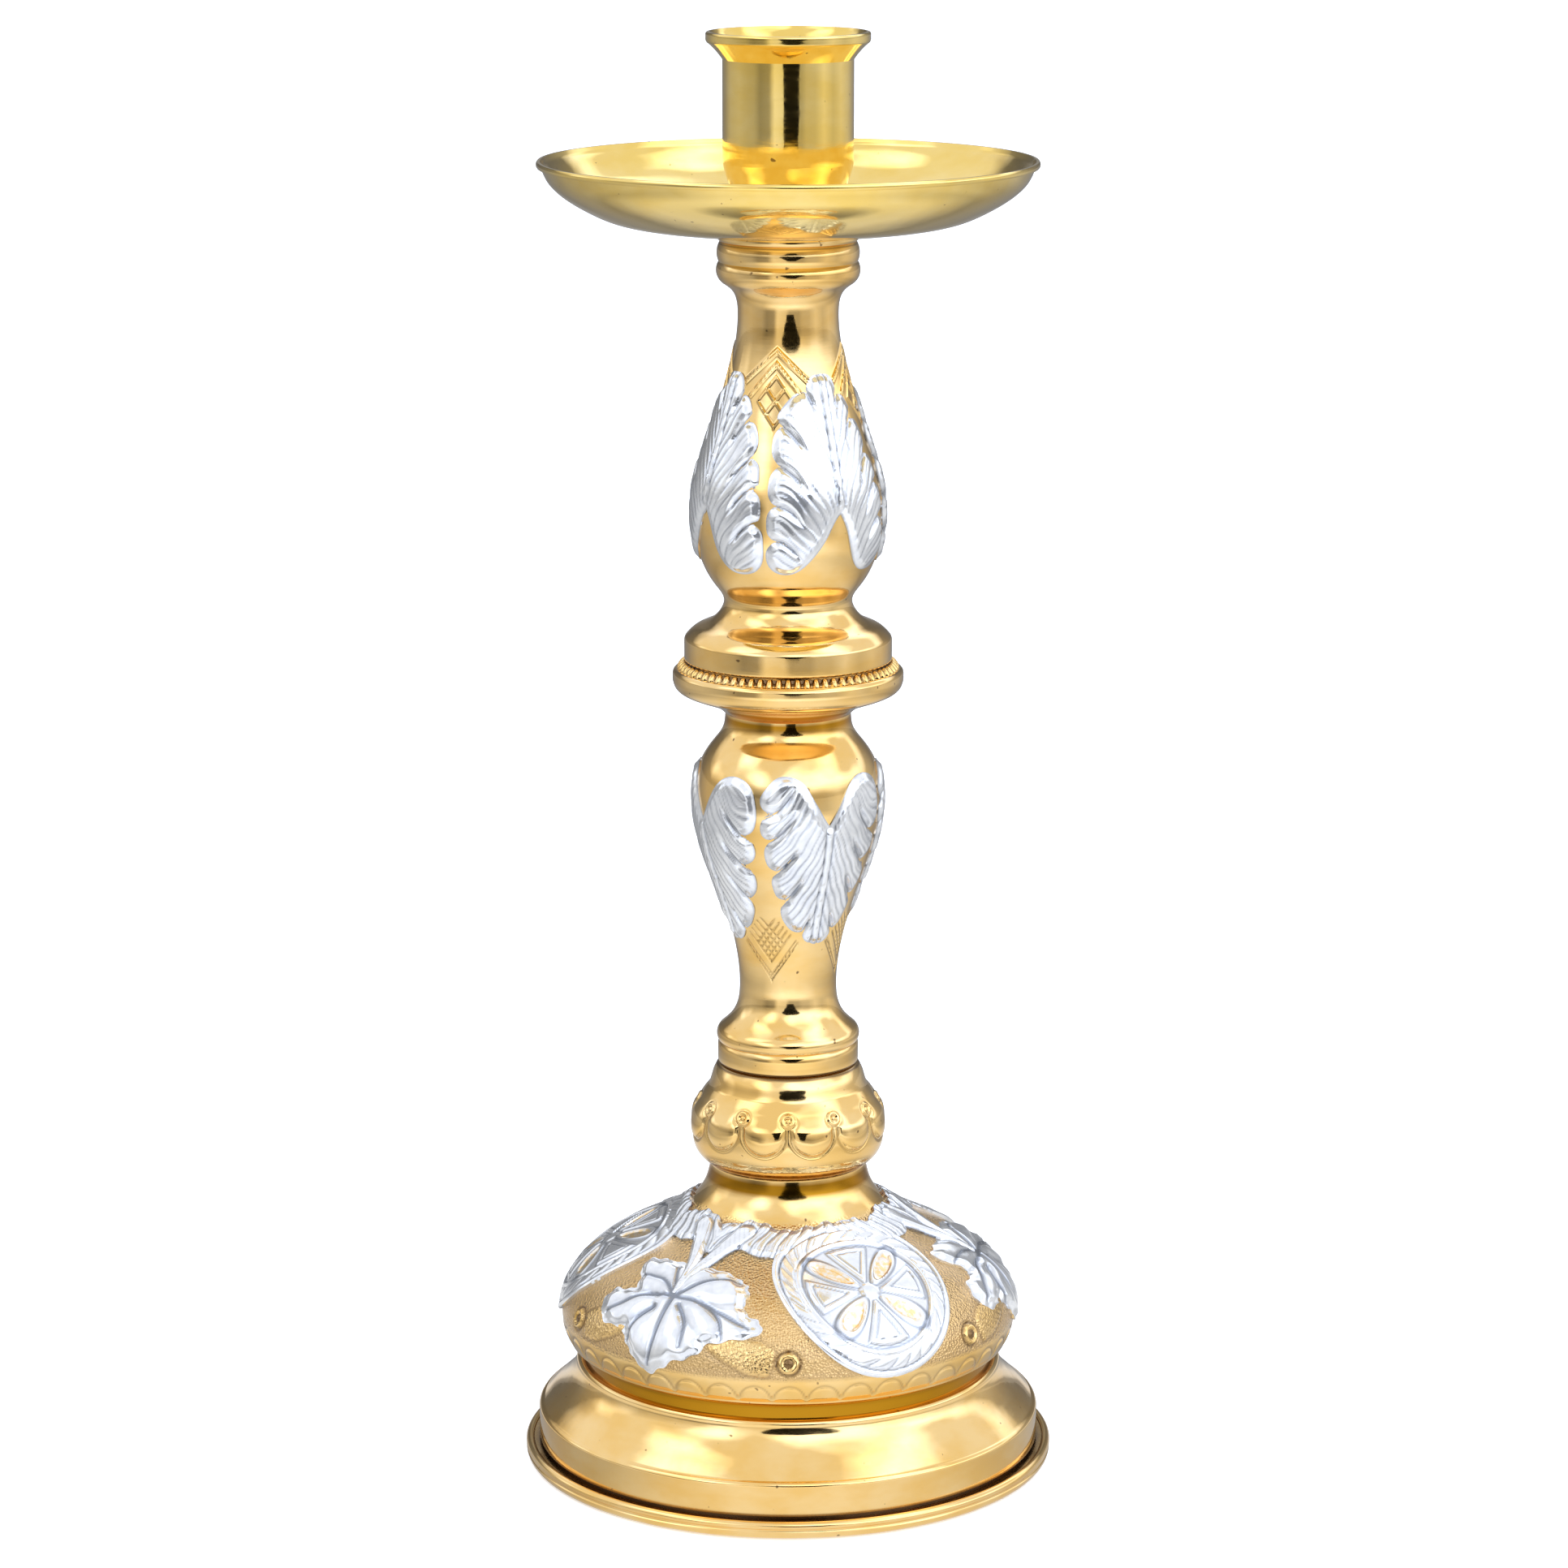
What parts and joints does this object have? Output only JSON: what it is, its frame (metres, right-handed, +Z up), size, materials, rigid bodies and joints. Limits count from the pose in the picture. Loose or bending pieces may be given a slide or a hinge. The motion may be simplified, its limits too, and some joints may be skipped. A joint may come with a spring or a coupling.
{
  "type": "altar candlestick",
  "caption": "Altar candlestick with a stepped and domed round base, leaf-wrapped baluster stem, wide drip pan and a screw-off socket for a candle.",
  "frame": {"origin": "centre of the resting plane under the base rim", "axes": "+Z up along the stem's axis; +Y away from the viewer of the front"},
  "size_m": [0.1192, 0.1192, 0.32],
  "materials": {
    "polished_brass": "polished and lacquered",
    "matted_brass": "matted ground with chased lines",
    "silver_plate": "silver plated relief",
    "zinc_steel": "zinc plated",
    "fibre": "vulcanised fibre"
  },
  "bodies": {
    "stem": {"base_rim": "polished_brass", "base_foot": "polished_brass", "base_dome": "matted_brass", "knop": "polished_brass", "lower_baluster": "polished_brass", "middle_disc": "polished_brass", "bead_ring": "polished_brass", "upper_baluster": "polished_brass", "top_collar": "polished_brass", "tie_rod": "zinc_steel", "clamp_plate": "zinc_steel", "flat_washer": "zinc_steel", "spring_washer": "zinc_steel", "hex_nut": "zinc_steel", "neck_disc": "zinc_steel", "knop_disc": "zinc_steel", "baluster_disc": "zinc_steel"},
    "pan": {"drip_pan": "polished_brass"},
    "washer": {"socket_washer": "fibre"},
    "socket": {"candle_socket": "polished_brass"}
  },
  "joints": [
    {"name": "pan_lift", "type": "slide", "parent": "stem", "child": "pan", "axis": [0, 0, 1], "range_m": [0, 0.03]},
    {"name": "socket_rise", "type": "slide", "parent": "pan", "child": "washer", "axis": [0, 0, 1], "range_m": [0, 0.0072]},
    {"name": "socket_unscrew", "type": "hinge", "parent": "washer", "child": "socket", "pos_m": [0, 0, 0.2789], "axis": [0, 0, 1], "range_deg": [0, 2520]}
  ],
  "couplings": [
    {"joint": "socket_rise", "follows": "socket_unscrew", "m_per_rad": 0.00015915}
  ]
}
